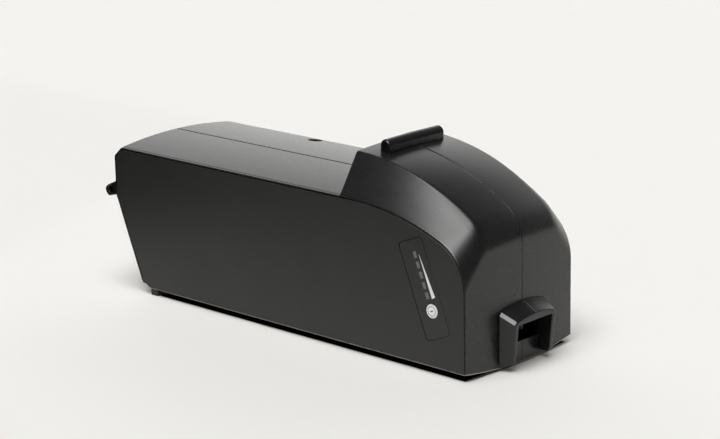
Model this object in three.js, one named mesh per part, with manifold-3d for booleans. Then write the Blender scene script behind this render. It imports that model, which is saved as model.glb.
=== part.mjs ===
// Slide-on battery pack for an electric bicycle: two moulded shell halves with flat side panels,
// a raised nose that ends in a plug shroud, a hook bar on top, and the cells and boards inside.
// Millimetres. +X runs to the nose, +Y is away from the indicator side, +Z is up.
// The origin is on the ground, under the middle of the pack.

import * as THREE from "three";
import { mergeVertices } from "three/addons/utils/BufferGeometryUtils.js";
import Module from "manifold-3d";

const wasm = await Module();
wasm.setup();

// ---------- driving dimensions ----------

const GAP = 0.3; // between neighbours
const OVERLAP = 0.2; // how deep two lumps of one piece run into each other
const WALL = 2.5;
const HALF_WIDTH = 45;
const SIDE_BOTTOM = 4; // lower edge of the flat sides
const SIDE_TOP = 87.8; // upper edge of the flat sides
const TOP_CROWN = 3.6; // the top is higher than this edge along the middle
const BASE_CROWN = 3.4; // the base is lower along the middle
const NOSE_X = 136.8; // where lengths along the pack are measured from
const SIDE_AHEAD = 0.5; // the front edge of the flat sides is this far ahead of it
const FACE_BULGE = 2.2; // and the nose's face, along the middle, this far
const BODY_LENGTH = 275;
const REAR_X = NOSE_X - BODY_LENGTH;
const STEP_X = NOSE_X - 89; // where the nose rises above the top
const HEEL_Z = 58; // below this the rear face slants forward
const REAR_BEVEL = 6.4;

const SHOULDER_HALF = 30.5; // half width of the panel on top of the nose
const SHOULDER = { radius: 150, back: 92, topZ: 110.3, fillet: 22 };
const SEAM = { radius: 170, back: 82, topZ: SIDE_TOP, fillet: 29 };
const NOSE_CROWN = 1.4;
const NOSE_ARC_STEPS = 9;
const NOSE_FILLET_STEPS = 7;

const PANEL_THICK = 2.2;
const PANEL_RIM = 0.6; // shell edge left showing round each side panel
const WEB = 1.7; // shell wall behind the panel
const RECESS_Y = HALF_WIDTH - PANEL_THICK - GAP;
const INNER_Y = RECESS_Y - WEB;

const BAR = { back: 75.2, z: 113.4, halfLength: 22.8, radiusMid: 3.9, radiusEnd: 3.6, chamfer: 0.6 };
const BAR_FOOT = { halfX: 2, halfY: 17, bottom: 103, slotBottom: 95 };

const SOCKET = { halfY: 14.2, bottom: 13, top: 26.8, reach: 8 };
const SHROUD = {
  rootX: NOSE_X + FACE_BULGE + 0.4,
  tipX: NOSE_X + 12.3,
  lean: 2.6, // the lower end of the rim is this much further back
};

const LABEL = { back: 28.2, z: 46.6, width: 17.4, length: 54.6, corner: 2.4, tilt: 21.4 };
const LABEL_THICK = 0.6;
const LABEL_SET = 0.1; // the film lies this much below the panel's face
const LIGHT_SET = 0.05;
const COLUMN_U = 0.65; // the lights and the button stand just off the label's centre line
const BUTTON = { w: 12.5, radius: 3.95, thick: 1.6, stem: 2.4, stemClearance: 0.4, depth: 4.8 };
const LIGHT = { count: 5, firstW: -18.9, pitch: 5.7, width: 2, height: 3.2, innerY: 38.4 };

const LOCK_HOLE = { back: 187.2, y: 38, radius: 4, bottom: 82, top: 95 };
const LUG = { yIn: 36.5, yOut: 44, eyeRadius: 2.1, eyeX: -5.7, eyeZ: 60 };
const SCREW = { headRadius: 2.8, headHeight: 0.9, seatDepth: 1.4, holeRadius: 1.8 };
const SCREW_SHANK = { radius: 1.5, tipY: 39.2 };
const SCREW_DRIVE = { radius: 1.2, floor: 0.4, top: 2 };

const CELL = { radius: 9.1, bottom: 13, length: 65, pitch: 19.2, rows: 10, perRow: 4, sides: 12 };
const FIRST_ROW_X = NOSE_X - 243.2;
const BOND = { halfX: 1, inset: 22 };
const HOLDER = { thick: 6, halfY: 39, rearMargin: 1.2, frontMargin: 1.4 };
const STRIP = { thick: 0.4, margin: 5 };
const INSULATOR = { halfY: 38, lower: [11.4, 12], upper: [79, 79.6] };
const PAD = { halfY: 34, lower: [6.8, 11.1], upper: [79.9, 83.8] };
const SHEET_MARGIN = 7;

const BOARD = { x: NOSE_X - 54, thick: 1.6, halfY: 34, z: [14, 80] };
const HEATSINK = { baseX: [2, 4], finX: [3, 9], halfY: 30, z: [24, 72], finHalf: 0.8 };
const FIN_Y = [-28, -17, -6, 6, 17, 28];
const FUSE = { x: [12, 18], y: [0, 16], z: [40, 52], bladeX: [14.6, 15.4], bladeZ: [34, 41] };
const FUSE_BLADE = { y: [3, 13], halfY: 2 };
const BLOCK = { rear: NOSE_X - 26, front: NOSE_X - 9, halfY: 13.6, bottom: 13.3, top: 26.5 };
const BLADE = { y: 6.5, thick: 1, bottom: 16.4, top: 23.4, reach: 6 };
const LEAD = { radius: 1.6, boardX: 2.2, topZ: 60, outY: 33 };
const LEAD_TAIL = { back: 7.8, y: 8.5, z: 19.9 };
const INDICATOR_BOARD = { width: 15, length: 50, yIn: 36.4, yOut: 37.8 };
const SWITCH = { half: 3, yIn: 38.1, yOut: 39, stemRadius: 1.5, stemOut: 39.4 };

// ---------- materials ----------

function plastic(color, roughness) {
  return new THREE.MeshStandardMaterial({ color, roughness, metalness: 0 });
}

function metal(color, roughness) {
  return new THREE.MeshStandardMaterial({ color, roughness, metalness: 1 });
}

const shellPlastic = () => plastic(0x2b2b29, 0.42);
const panelPlastic = () => plastic(0x23231f, 0.5);
const barPlastic = () => plastic(0x0d0e0e, 0.3);
const labelFilm = () => plastic(0x20211e, 0.45);
const buttonPlastic = () => plastic(0xdfe5e6, 0.4);
const lightWindow = () => plastic(0x6b6c68, 0.35);
const rubber = () => plastic(0x161616, 0.85);
const cellWrap = () => plastic(0x2c6e8f, 0.4);
const holderPlastic = () => plastic(0x1d1d1d, 0.6);
const nickel = () => metal(0xb9b4a8, 0.35);
const boardResin = () => plastic(0x14532d, 0.5);
const steel = () => metal(0x8d8f92, 0.3);
const fuseBody = () => plastic(0xb8860b, 0.4);
const redWire = () => plastic(0x8c1d18, 0.5);

// ---------- solids ----------

function solidOf(geometry) {
  const bare = geometry.index ? geometry.toNonIndexed() : geometry.clone();
  bare.deleteAttribute("normal");
  bare.deleteAttribute("uv");
  const merged = mergeVertices(bare, 1e-3);
  const corners = [];
  for (let i = 0; i < merged.index.count; i += 3) {
    const [a, b, c] = merged.index.array.slice(i, i + 3);
    if (a !== b && b !== c && c !== a) corners.push(a, b, c);
  }
  const vertProperties = new Float32Array(merged.attributes.position.array);
  const triVerts = new Uint32Array(corners);
  return new wasm.Manifold(new wasm.Mesh({ numProp: 3, vertProperties, triVerts }));
}

function geometryOf(solid) {
  const mesh = solid.getMesh();
  const geometry = new THREE.BufferGeometry();
  geometry.setAttribute("position", new THREE.BufferAttribute(mesh.vertProperties, 3));
  geometry.setIndex(new THREE.BufferAttribute(mesh.triVerts, 1));
  const flat = geometry.toNonIndexed();
  flat.computeVertexNormals();
  return flat;
}

function join(...solids) {
  return solids.reduce((whole, piece) => whole.add(piece));
}

function cut(solid, ...tools) {
  return tools.reduce((rest, tool) => rest.subtract(tool), solid);
}

function box([x0, x1], [y0, y1], [z0, z1]) {
  const geometry = new THREE.BoxGeometry(x1 - x0, y1 - y0, z1 - z0);
  geometry.translate((x0 + x1) / 2, (y0 + y1) / 2, (z0 + z1) / 2);
  return solidOf(geometry);
}

// A cylinder along X, Y or Z from one end to the other, centred on the other two coordinates.
function rod(axis, radius, [from, to], [p, q], sides = 16) {
  const geometry = new THREE.CylinderGeometry(radius, radius, to - from, sides);
  if (axis === "x") geometry.rotateZ(-Math.PI / 2);
  if (axis === "z") geometry.rotateX(Math.PI / 2);
  const middle = (from + to) / 2;
  const centre = { x: [middle, p, q], y: [p, middle, q], z: [p, q, middle] }[axis];
  geometry.translate(...centre);
  return solidOf(geometry);
}

// An outline drawn in X and Z, made solid between two Y planes.
function plateXZ(outline, [y0, y1]) {
  const shape = new THREE.Shape(outline.map(([x, z]) => new THREE.Vector2(x, z)));
  const geometry = new THREE.ExtrudeGeometry(shape, { depth: y1 - y0, bevelEnabled: false });
  geometry.rotateX(Math.PI / 2);
  geometry.translate(0, y1, 0);
  return solidOf(geometry);
}

// An outline drawn in Y and Z, made solid between two X planes.
function plateYZ(outline, [x0, x1]) {
  const shape = new THREE.Shape(outline.map(([y, z]) => new THREE.Vector2(y, z)));
  const geometry = new THREE.ExtrudeGeometry(shape, { depth: x1 - x0, bevelEnabled: false });
  geometry.applyMatrix4(new THREE.Matrix4().set(0, 0, 1, x0, 1, 0, 0, 0, 0, 1, 0, 0, 0, 0, 0, 1));
  return solidOf(geometry);
}

function signedArea(points) {
  return THREE.ShapeUtils.area(points);
}

// A closed skin through sections that all have the same number of [x, y, z] points.
// flat() gives the two coordinates in which an end section is filled.
function loft(sections, flat) {
  const count = sections[0].length;
  const triangles = [];
  const put = (...points) => triangles.push(...points.flat());
  for (let s = 0; s + 1 < sections.length; s += 1) {
    for (let i = 0; i < count; i += 1) {
      const j = (i + 1) % count;
      const [a, b, c, d] = [sections[s][i], sections[s][j], sections[s + 1][j], sections[s + 1][i]];
      put(a, b, c);
      put(a, c, d);
    }
  }
  const fill = (section, direction) => {
    const points = section.map((point) => new THREE.Vector2(...flat(point)));
    const wanted = Math.sign(signedArea(points)) * direction;
    for (const [i, j, k] of THREE.ShapeUtils.triangulateShape(points, [])) {
      const turn = Math.sign(signedArea([points[i], points[j], points[k]]));
      if (turn === wanted) put(section[i], section[j], section[k]);
      else put(section[i], section[k], section[j]);
    }
  };
  fill(sections[0], -1);
  fill(sections[sections.length - 1], 1);
  if (volumeOf(triangles) < 0) turnOver(triangles);
  const geometry = new THREE.BufferGeometry();
  geometry.setAttribute("position", new THREE.Float32BufferAttribute(triangles, 3));
  return solidOf(geometry);
}

function volumeOf(triangles) {
  let volume = 0;
  const [a, b, c] = [new THREE.Vector3(), new THREE.Vector3(), new THREE.Vector3()];
  for (let i = 0; i < triangles.length; i += 9) {
    a.fromArray(triangles, i);
    b.fromArray(triangles, i + 3);
    c.fromArray(triangles, i + 6);
    volume += a.dot(b.cross(c)) / 6;
  }
  return volume;
}

function turnOver(triangles) {
  for (let i = 0; i < triangles.length; i += 9) {
    const second = triangles.slice(i + 3, i + 6);
    const third = triangles.slice(i + 6, i + 9);
    triangles.splice(i + 3, 6, ...third, ...second);
  }
}

// ---------- outline of the body ----------

const lerp = THREE.MathUtils.lerp;
const dome = (y) => 1 - (y / HALF_WIDTH) ** 2;
const baseZ = (y) => SIDE_BOTTOM - BASE_CROWN * dome(y);
const topZ = (y) => SIDE_TOP + TOP_CROWN * dome(y);
const faceX = (y) => NOSE_X + lerp(SIDE_AHEAD, FACE_BULGE, dome(y));

// The nose in side view, from the face up and back to the step: a tight fillet, then a long arc.
function noseCurve({ radius, back, fillet }, peak, face) {
  const centreX = NOSE_X - back;
  const centreZ = peak - radius;
  const filletX = face - fillet;
  const filletZ = centreZ + Math.sqrt((radius - fillet) ** 2 - (filletX - centreX) ** 2);
  const turn = Math.atan2(filletZ - centreZ, filletX - centreX);
  const flatStart = Math.max(STEP_X + 6, centreX);
  const last = Math.acos((flatStart - centreX) / radius);
  const points = [];
  for (let i = 0; i <= NOSE_FILLET_STEPS; i += 1) {
    const angle = (turn * i) / NOSE_FILLET_STEPS;
    points.push([filletX + fillet * Math.cos(angle), filletZ + fillet * Math.sin(angle)]);
  }
  for (let i = 1; i <= NOSE_ARC_STEPS; i += 1) {
    const angle = lerp(turn, last, i / NOSE_ARC_STEPS);
    points.push([centreX + radius * Math.cos(angle), centreZ + radius * Math.sin(angle)]);
  }
  const stepZ = centreZ + Math.sqrt(radius ** 2 - Math.max(STEP_X - centreX, 0) ** 2);
  points.push([STEP_X, stepZ]);
  return points;
}

function noseAt(y) {
  const aside = Math.abs(y);
  if (aside < SHOULDER_HALF) {
    const lift = NOSE_CROWN * (1 - (aside / SHOULDER_HALF) ** 2);
    return noseCurve(SHOULDER, SHOULDER.topZ + lift, faceX(y));
  }
  const upper = noseCurve(SHOULDER, SHOULDER.topZ, faceX(SHOULDER_HALF));
  const lower = noseCurve(SEAM, SEAM.topZ, faceX(HALF_WIDTH));
  const share = (aside - SHOULDER_HALF) / (HALF_WIDTH - SHOULDER_HALF);
  return upper.map(([x, z], i) => [lerp(x, lower[i][0], share), lerp(z, lower[i][1], share)]);
}

// The notched heel of the outside, and the plain one used for the panel and the cavity.
const NOTCHED = [[19.8, 3.6], [21, 2.1], [23.6, 2], [25.4, 0.7], [27.2, 0]];
const PLAIN = [[20.2, 3.6], [25.8, 0.2], [27.2, 0]];

function section(y, heel = NOTCHED) {
  return [
    ...heel.map(([forward, up]) => [REAR_X + forward, baseZ(y) + up]),
    [faceX(y), baseZ(y)],
    ...noseAt(y),
    [STEP_X, topZ(y)],
    [REAR_X + REAR_BEVEL, topZ(y)],
    [REAR_X, topZ(y) - REAR_BEVEL + 0.6],
    [REAR_X, HEEL_Z],
  ];
}

// Moves every side of an outline inward by the same distance.
function inset(outline, distance) {
  const points = outline.filter(([x, z], i) => {
    const [nextX, nextZ] = outline[(i + 1) % outline.length];
    return Math.hypot(nextX - x, nextZ - z) > 0.01;
  });
  return points.map((point, i) => {
    const before = points[(i + points.length - 1) % points.length];
    const after = points[(i + 1) % points.length];
    const inwardA = inward(before, point);
    const inwardB = inward(point, after);
    const reach = distance / (1 + inwardA[0] * inwardB[0] + inwardA[1] * inwardB[1]);
    return [point[0] + (inwardA[0] + inwardB[0]) * reach, point[1] + (inwardA[1] + inwardB[1]) * reach];
  });
}

function inward([ax, az], [bx, bz]) {
  const length = Math.hypot(bx - ax, bz - az);
  return [-(bz - az) / length, (bx - ax) / length];
}

// ---------- indicator layout ----------

const tilt = THREE.MathUtils.degToRad(LABEL.tilt);
const labelCentre = [NOSE_X - LABEL.back, LABEL.z];

// u runs across the label and w down it, towards the button.
function onLabel(u, w) {
  const x = labelCentre[0] + u * Math.cos(tilt) + w * Math.sin(tilt);
  const z = labelCentre[1] + u * Math.sin(tilt) - w * Math.cos(tilt);
  return [x, z];
}

function labelRectangle(u, w, width, height, corner = 0) {
  const [halfU, halfW] = [width / 2 - corner, height / 2 - corner];
  const steps = corner > 0 ? 3 : 0;
  const points = [];
  for (const [signU, signW, start] of [[1, 1, 0], [-1, 1, 90], [-1, -1, 180], [1, -1, 270]]) {
    for (let i = 0; i <= steps; i += 1) {
      const angle = THREE.MathUtils.degToRad(start + (steps ? (90 * i) / steps : 45));
      const across = u + signU * halfU + corner * Math.cos(angle);
      const down = w + signW * halfW + corner * Math.sin(angle);
      points.push(onLabel(across, down));
    }
  }
  return points.reverse();
}

const lightW = (i) => LIGHT.firstW + LIGHT.pitch * i;
const lightNumbers = Array.from({ length: LIGHT.count }, (_, i) => i);

function lightHole(i, yRange) {
  const hole = labelRectangle(COLUMN_U, lightW(i), LIGHT.width + 2 * GAP, LIGHT.height + 2 * GAP);
  return plateXZ(hole, yRange);
}

// ---------- shells and panels ----------

const to3D = (outline, y) => outline.map(([x, z]) => [x, y, z]);
const flatXZ = ([x, , z]) => [x, z];
const SCREWS = [[REAR_X + 8, 74], [REAR_X + 30, 10.5], [NOSE_X - 22, 11.5], [NOSE_X - 34, 70]];

function shellBlank(side) {
  const stations = [HALF_WIDTH, 38, SHOULDER_HALF, 16, GAP / 2];
  const outside = loft(stations.map((y) => to3D(section(y), side * y)), flatXZ);
  const core = [INNER_Y, SHOULDER_HALF, 16, 0].map((y) => inset(section(y, PLAIN), WALL));
  const places = [INNER_Y, SHOULDER_HALF, 16, -1];
  const cavity = loft(core.map((outline, i) => to3D(outline, side * places[i])), flatXZ);
  const faces = [side * RECESS_Y, side * (HALF_WIDTH + 1)].sort((a, b) => a - b);
  const recess = plateXZ(inset(section(HALF_WIDTH, PLAIN), PANEL_RIM), faces);
  const mouthX = [NOSE_X - SOCKET.reach, NOSE_X + SOCKET.reach];
  const mouth = box(mouthX, [-SOCKET.halfY, SOCKET.halfY], [SOCKET.bottom, SOCKET.top]);
  const barX = NOSE_X - BAR.back;
  const footHalfX = BAR_FOOT.halfX + GAP;
  const footHalfY = BAR_FOOT.halfY + GAP;
  const slotZ = [BAR_FOOT.slotBottom, BAR.z];
  const barSlot = box([barX - footHalfX, barX + footHalfX], [-footHalfY, footHalfY], slotZ);
  const saddleHalf = BAR.halfLength + GAP;
  const saddle = rod("y", BAR.radiusMid + GAP, [-saddleHalf, saddleHalf], [barX, BAR.z], 24);
  return cut(outside, cavity, recess, mouth, barSlot, saddle);
}

function leftShell() {
  const web = [-RECESS_Y - 1, -INNER_Y + 1];
  const stemHole = rod("y", BUTTON.stem + BUTTON.stemClearance, web, onLabel(COLUMN_U, BUTTON.w));
  const lightHoles = lightNumbers.map((i) => lightHole(i, web));
  return cut(shellBlank(-1), stemHole, ...lightHoles);
}

function rightShell() {
  const web = [INNER_Y - 1, RECESS_Y + 1];
  const screwHoles = SCREWS.map((spot) => rod("y", SCREW.holeRadius, web, spot, 12));
  const lockCentre = [NOSE_X - LOCK_HOLE.back, LOCK_HOLE.y];
  const lockHole = rod("z", LOCK_HOLE.radius, [LOCK_HOLE.bottom, LOCK_HOLE.top], lockCentre, 20);
  return cut(shellBlank(1), lockHole, ...screwHoles);
}

const panelOutline = () => inset(section(HALF_WIDTH, PLAIN), PANEL_RIM + GAP);

function leftSidePanel() {
  const panel = plateXZ(panelOutline(), [-HALF_WIDTH, -HALF_WIDTH + PANEL_THICK]);
  const wide = labelRectangle(0, 0, LABEL.width + 2 * GAP, LABEL.length + 2 * GAP, LABEL.corner);
  const pocket = plateXZ(wide, [-HALF_WIDTH - 1, -HALF_WIDTH + LABEL_THICK + GAP]);
  const through = [-HALF_WIDTH - 1, -HALF_WIDTH + PANEL_THICK + 1];
  const buttonHole = rod("y", BUTTON.radius + GAP, through, onLabel(COLUMN_U, BUTTON.w), 24);
  return cut(panel, pocket, buttonHole, ...lightNumbers.map((i) => lightHole(i, through)));
}

function rightSidePanel() {
  const panel = plateXZ(panelOutline(), [HALF_WIDTH - PANEL_THICK, HALF_WIDTH]);
  const through = [HALF_WIDTH - PANEL_THICK - 1, HALF_WIDTH + 1];
  const seatY = [HALF_WIDTH - SCREW.seatDepth, HALF_WIDTH + 1];
  const holes = SCREWS.map((spot) => rod("y", SCREW.holeRadius, through, spot, 12));
  const seats = SCREWS.map((spot) => rod("y", SCREW.headRadius + GAP, seatY, spot));
  return cut(panel, ...holes, ...seats);
}

function panelScrew(spot) {
  const seat = HALF_WIDTH - SCREW.seatDepth + GAP;
  const head = rod("y", SCREW.headRadius, [seat, seat + SCREW.headHeight], spot);
  const shank = rod("y", SCREW_SHANK.radius, [SCREW_SHANK.tipY, seat + OVERLAP], spot, 12);
  const recess = rod("y", SCREW_DRIVE.radius, [seat + SCREW_DRIVE.floor, seat + SCREW_DRIVE.top], spot, 6);
  return cut(join(head, shank), recess);
}

// ---------- hook bar, shroud, lugs, feet ----------

function hookBar() {
  const x = NOSE_X - BAR.back;
  const sides = 16;
  const ring = (y, radius) => Array.from({ length: sides }, (_, i) => {
    const angle = (2 * Math.PI * i) / sides;
    return [x + radius * Math.cos(angle), y, BAR.z + radius * Math.sin(angle)];
  });
  const bar = loft([
    ring(-BAR.halfLength, BAR.radiusEnd - BAR.chamfer),
    ring(-BAR.halfLength + BAR.chamfer, BAR.radiusEnd),
    ring(0, BAR.radiusMid),
    ring(BAR.halfLength - BAR.chamfer, BAR.radiusEnd),
    ring(BAR.halfLength, BAR.radiusEnd - BAR.chamfer),
  ], flatXZ);
  const { halfX, halfY, bottom } = BAR_FOOT;
  return join(bar, box([x - halfX, x + halfX], [-halfY, halfY], [bottom, BAR.z]));
}

// One section of the shroud: an arch with two legs, drawn in Y and Z.
function shroudRing({ half, foot, eaves, ridge, innerHalf, innerTop, legBottom }) {
  const arch = [1, 0.55, 0, -0.55, -1].map((t) => {
    return [t * (half - 1.6), lerp(ridge, eaves, t * t)];
  });
  return [
    [foot, legBottom],
    [half, eaves - 1.8],
    ...arch,
    [-half, eaves - 1.8],
    [-foot, legBottom],
    [-innerHalf, legBottom],
    [-innerHalf, innerTop],
    [innerHalf, innerTop],
    [innerHalf, legBottom],
  ];
}

const SHROUD_ROOT = {
  half: 19.6, foot: 19.8, eaves: 33.2, ridge: 35.9, innerHalf: 15, innerTop: 27.4, legBottom: 3.6,
};
const SHROUD_RIM = {
  half: 17.3, foot: 16.5, eaves: 28.7, ridge: 31, innerHalf: 14.2, innerTop: 26.4, legBottom: 6.6,
};
// How far along the shroud each section is, and how far the leg's rounded end has risen there.
const SHROUD_STATIONS = [[0, 0], [0.45, 0.1], [0.75, 0.38], [1, 1]];

function socketShroud() {
  const rows = SHROUD_STATIONS.map(([along, rise]) => {
    const shape = Object.fromEntries(Object.keys(SHROUD_ROOT).map((key) => {
      const share = key === "legBottom" ? rise : along;
      return [key, lerp(SHROUD_ROOT[key], SHROUD_RIM[key], share)];
    }));
    return shroudRing(shape).map(([y, z]) => {
      const height = (z - SHROUD_RIM.legBottom) / (SHROUD_RIM.ridge - SHROUD_RIM.legBottom);
      const frontX = SHROUD.tipX - SHROUD.lean * (1 - height);
      return [lerp(SHROUD.rootX, frontX, along), y, z];
    });
  });
  return loft(rows, ([, y, z]) => [y, z]);
}

// The loop on the rear face, drawn in X and Z, with its eye along Y.
const LUG_OUTLINE = [[6, 62.9], [0, 66.2], [-8.4, 62.5], [-10.2, 61.1], [-10.9, 59.6], [-10.3, 57.4],
  [-8.2, 55.4], [1, 57.9], [6, 58]];

function rearLug(side) {
  const yRange = [side * LUG.yIn, side * LUG.yOut].sort((a, b) => a - b);
  const loop = plateXZ(LUG_OUTLINE.map(([x, z]) => [REAR_X + x, z]), yRange);
  const clear = plateXZ(inset(section(LUG.yOut), -GAP), [-HALF_WIDTH, HALF_WIDTH]);
  const eyeCentre = [REAR_X + LUG.eyeX, LUG.eyeZ];
  const eye = rod("y", LUG.eyeRadius, [yRange[0] - 1, yRange[1] + 1], eyeCentre, 16);
  return cut(loop, clear, eye);
}

const GLIDE = { yIn: 21.5, yOut: 27.5, rear: REAR_X + 36, front: NOSE_X - 4 };
const FOOT = { yIn: 36.5, yOut: 44.6, rear: REAR_X + 27.4, length: 6 };

// A strip under the base whose top follows the base's curve.
function runner(side, { yIn, yOut }, xRange) {
  const corners = [[yIn, 0], [yOut, 0], [yOut, baseZ(yOut) - GAP], [yIn, baseZ(yIn) - GAP]];
  return plateYZ(corners.map(([y, z]) => [side * y, z]), xRange);
}

// ---------- indicator ----------

function indicatorOverlay() {
  const outline = labelRectangle(0, 0, LABEL.width, LABEL.length, LABEL.corner);
  const film = plateXZ(outline, [-HALF_WIDTH + LABEL_SET, -HALF_WIDTH + LABEL_THICK]);
  const through = [-HALF_WIDTH - 1, -HALF_WIDTH + LABEL_THICK + 1];
  const buttonHole = rod("y", BUTTON.radius + GAP, through, onLabel(COLUMN_U, BUTTON.w), 24);
  return cut(film, buttonHole, ...lightNumbers.map((i) => lightHole(i, through)));
}

function pushButton() {
  const spot = onLabel(COLUMN_U, BUTTON.w);
  const back = -HALF_WIDTH + BUTTON.thick;
  const disc = rod("y", BUTTON.radius, [-HALF_WIDTH, back], spot, 24);
  const stem = rod("y", BUTTON.stem, [back - OVERLAP, -HALF_WIDTH + BUTTON.depth], spot, 16);
  return join(disc, stem);
}

function lightPipe(i) {
  const outline = labelRectangle(COLUMN_U, lightW(i), LIGHT.width, LIGHT.height);
  return plateXZ(outline, [-HALF_WIDTH + LIGHT_SET, -LIGHT.innerY]);
}

// ---------- cells ----------

const cellX = (row) => FIRST_ROW_X + CELL.pitch * row;
const cellY = (column) => CELL.pitch * (column - (CELL.perRow - 1) / 2);
const cellTop = CELL.bottom + CELL.length;
const rowNumbers = Array.from({ length: CELL.rows }, (_, i) => i);
const columnNumbers = Array.from({ length: CELL.perRow }, (_, i) => i);

function cellRow(row) {
  const cells = columnNumbers.map((column) => {
    return rod("z", CELL.radius, [CELL.bottom, cellTop], [cellX(row), cellY(column)], CELL.sides);
  });
  const bondY = cellY(CELL.perRow - 1);
  const bondX = [cellX(row) - BOND.halfX, cellX(row) + BOND.halfX];
  const bond = box(bondX, [-bondY, bondY], [CELL.bottom + BOND.inset, cellTop - BOND.inset]);
  return join(...cells, bond);
}

function cellHolder([z0, z1]) {
  const rear = FIRST_ROW_X - CELL.radius - HOLDER.rearMargin;
  const front = cellX(CELL.rows - 1) + CELL.radius + HOLDER.frontMargin;
  const plate = box([rear, front], [-HOLDER.halfY, HOLDER.halfY], [z0, z1]);
  const holes = rowNumbers.flatMap((row) => columnNumbers.map((column) => {
    return rod("z", CELL.radius + GAP, [z0 - 1, z1 + 1], [cellX(row), cellY(column)], CELL.sides);
  }));
  return cut(plate, ...holes);
}

function nickelStrip(firstRow, lastRow, z0) {
  const xRange = [cellX(firstRow) - STRIP.margin, cellX(lastRow) + STRIP.margin];
  const halfY = cellY(CELL.perRow - 1) + STRIP.margin;
  return box(xRange, [-halfY, halfY], [z0, z0 + STRIP.thick]);
}

function innerSheet(zRange, halfY) {
  const front = cellX(CELL.rows - 1) + CELL.radius;
  return box([FIRST_ROW_X - SHEET_MARGIN, front], [-halfY, halfY], zRange);
}

// ---------- electronics ----------

const fromBoard = (range) => range.map((x) => BOARD.x + x);

function bmsBoard() {
  return box([BOARD.x, BOARD.x + BOARD.thick], [-BOARD.halfY, BOARD.halfY], BOARD.z);
}

function heatsink() {
  const base = box(fromBoard(HEATSINK.baseX), [-HEATSINK.halfY, HEATSINK.halfY], HEATSINK.z);
  const fins = FIN_Y.map((y) => {
    return box(fromBoard(HEATSINK.finX), [y - HEATSINK.finHalf, y + HEATSINK.finHalf], HEATSINK.z);
  });
  return join(base, ...fins);
}

function fuse() {
  const body = box(fromBoard(FUSE.x), FUSE.y, FUSE.z);
  const blades = FUSE_BLADE.y.map((y) => {
    return box(fromBoard(FUSE.bladeX), [y - FUSE_BLADE.halfY, y + FUSE_BLADE.halfY], FUSE.bladeZ);
  });
  return join(body, ...blades);
}

function socketBlock() {
  const body = box([BLOCK.rear, BLOCK.front], [-BLOCK.halfY, BLOCK.halfY], [BLOCK.bottom, BLOCK.top]);
  const half = BLADE.thick / 2 + GAP;
  const slotZ = [BLADE.bottom - GAP, BLADE.top + GAP];
  const slots = [-BLADE.y, BLADE.y].map((y) => {
    return box([BLOCK.rear - 1, BLOCK.front + 1], [y - half, y + half], slotZ);
  });
  return cut(body, ...slots);
}

function contactBlade(side) {
  const y = side * BLADE.y;
  const half = BLADE.thick / 2;
  const xRange = [BLOCK.rear - BLADE.reach, BLOCK.front + BLADE.reach];
  return box(xRange, [y - half, y + half], [BLADE.bottom, BLADE.top]);
}

// A wire from the board's front side down to the tail of a contact.
function lead(side) {
  const route = new THREE.CatmullRomCurve3([
    new THREE.Vector3(BOARD.x + LEAD.boardX, side * LEAD.outY, LEAD.topZ),
    new THREE.Vector3(BOARD.x + 12, side * LEAD.outY, LEAD.topZ),
    new THREE.Vector3(BOARD.x + 20, side * 26, 30),
    new THREE.Vector3(BLOCK.rear - LEAD_TAIL.back, side * LEAD_TAIL.y, LEAD_TAIL.z),
  ]);
  const wire = new THREE.Shape();
  wire.absarc(0, 0, LEAD.radius, 0, 2 * Math.PI);
  const geometry = new THREE.ExtrudeGeometry(wire, { steps: 14, curveSegments: 4, extrudePath: route });
  return solidOf(geometry);
}

function indicatorBoard() {
  const outline = labelRectangle(0, 0, INDICATOR_BOARD.width, INDICATOR_BOARD.length);
  return plateXZ(outline, [-INDICATOR_BOARD.yOut, -INDICATOR_BOARD.yIn]);
}

function tactSwitch() {
  const [x, z] = onLabel(COLUMN_U, BUTTON.w);
  const { half, yIn, yOut } = SWITCH;
  const body = box([x - half, x + half], [-yOut, -yIn], [z - half, z + half]);
  const stem = rod("y", SWITCH.stemRadius, [-SWITCH.stemOut, -yOut + OVERLAP], [x, z], 12);
  return join(body, stem);
}

// ---------- the pack ----------

const pack = new THREE.Group();

function place(name, solid, material) {
  const mesh = new THREE.Mesh(geometryOf(solid), material);
  mesh.name = name;
  pack.add(mesh);
}

const twoDigits = (i) => String(i + 1).padStart(2, "0");
const SIDES = [["left", -1], ["right", 1]];

place("left_shell", leftShell(), shellPlastic());
place("right_shell", rightShell(), shellPlastic());
place("left_side_panel", leftSidePanel(), panelPlastic());
place("right_side_panel", rightSidePanel(), panelPlastic());
SCREWS.forEach((spot, i) => place(`panel_screw_${i + 1}`, panelScrew(spot), steel()));
place("hook_bar", hookBar(), barPlastic());
place("socket_shroud", socketShroud(), shellPlastic());
for (const [word, side] of SIDES) {
  place(`rear_lug_${word}`, rearLug(side), barPlastic());
  place(`glide_strip_${word}`, runner(side, GLIDE, [GLIDE.rear, GLIDE.front]), rubber());
  place(`rear_foot_${word}`, runner(side, FOOT, [FOOT.rear, FOOT.rear + FOOT.length]), rubber());
}

place("indicator_overlay", indicatorOverlay(), labelFilm());
place("push_button", pushButton(), buttonPlastic());
lightNumbers.forEach((i) => place(`light_window_${i + 1}`, lightPipe(i), lightWindow()));

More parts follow.
